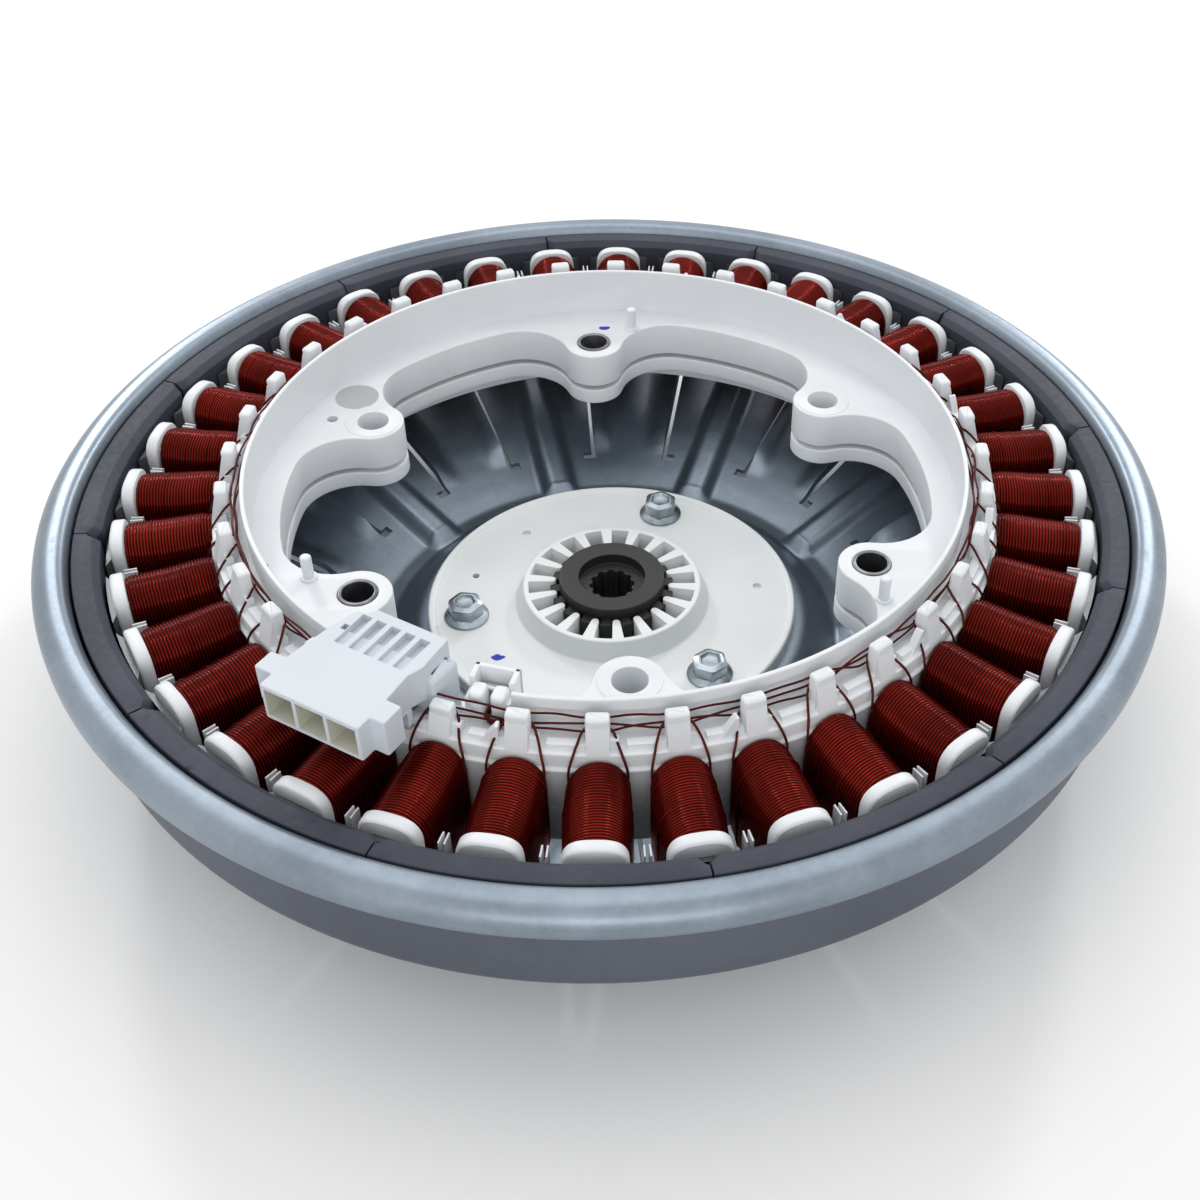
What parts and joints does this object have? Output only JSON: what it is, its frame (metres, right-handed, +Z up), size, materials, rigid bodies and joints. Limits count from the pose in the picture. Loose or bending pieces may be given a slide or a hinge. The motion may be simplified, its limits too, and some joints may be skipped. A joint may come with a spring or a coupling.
{
  "type": "direct-drive washing machine motor",
  "caption": "Outer-rotor direct-drive motor: a toothed stator with dark red coils and a white insulator lies in a pressed steel rotor cup with magnets and a splined hub.",
  "frame": {"origin": "on the motor axis at the lowest face of the rotor cup, its flat seat ring", "axes": "+Z up along the motor axis, the open side of the rotor facing up; a coil lies on -Y, towards the camera of the picture"},
  "size_m": [0.2996, 0.2996, 0.0746],
  "materials": {
    "lamination_steel": "satin",
    "insulator_plastic": "satin",
    "enamelled_wire": "gloss",
    "bush_steel": "satin",
    "connector_plastic": "satin",
    "tinned_terminal": "satin",
    "zinc_sheet": "satin",
    "ferrite": "matte",
    "hub_plastic": "satin",
    "bushing_plastic": "satin",
    "zinc_bolt": "satin"
  },
  "bodies": {
    "stator": {"stator_core": "lamination_steel", "upper_insulator": "insulator_plastic", "lower_insulator": "insulator_plastic", "u_winding": "enamelled_wire", "v_winding": "enamelled_wire", "w_winding": "enamelled_wire", "crossover_wires": "enamelled_wire", "steel_bush_1": "bush_steel", "steel_bush_2": "bush_steel", "steel_bush_3": "bush_steel", "connector_housing": "connector_plastic", "phase_terminal_u": "tinned_terminal", "phase_terminal_v": "tinned_terminal", "phase_terminal_w": "tinned_terminal", "neutral_terminal": "tinned_terminal"},
    "rotor": {"rotor_cup": "zinc_sheet", "magnet_01": "ferrite", "magnet_02": "ferrite", "magnet_03": "ferrite", "magnet_04": "ferrite", "magnet_05": "ferrite", "magnet_06": "ferrite", "magnet_07": "ferrite", "magnet_08": "ferrite", "magnet_09": "ferrite", "magnet_10": "ferrite", "magnet_11": "ferrite", "magnet_12": "ferrite", "rotor_hub": "hub_plastic", "spline_bushing": "bushing_plastic", "hub_bolts": "zinc_bolt"}
  },
  "joints": [
    {"name": "rotor_spin", "type": "hinge", "parent": "stator", "child": "rotor", "pos_m": [0, 0, 0], "axis": [0, 0, 1], "continuous": true}
  ]
}
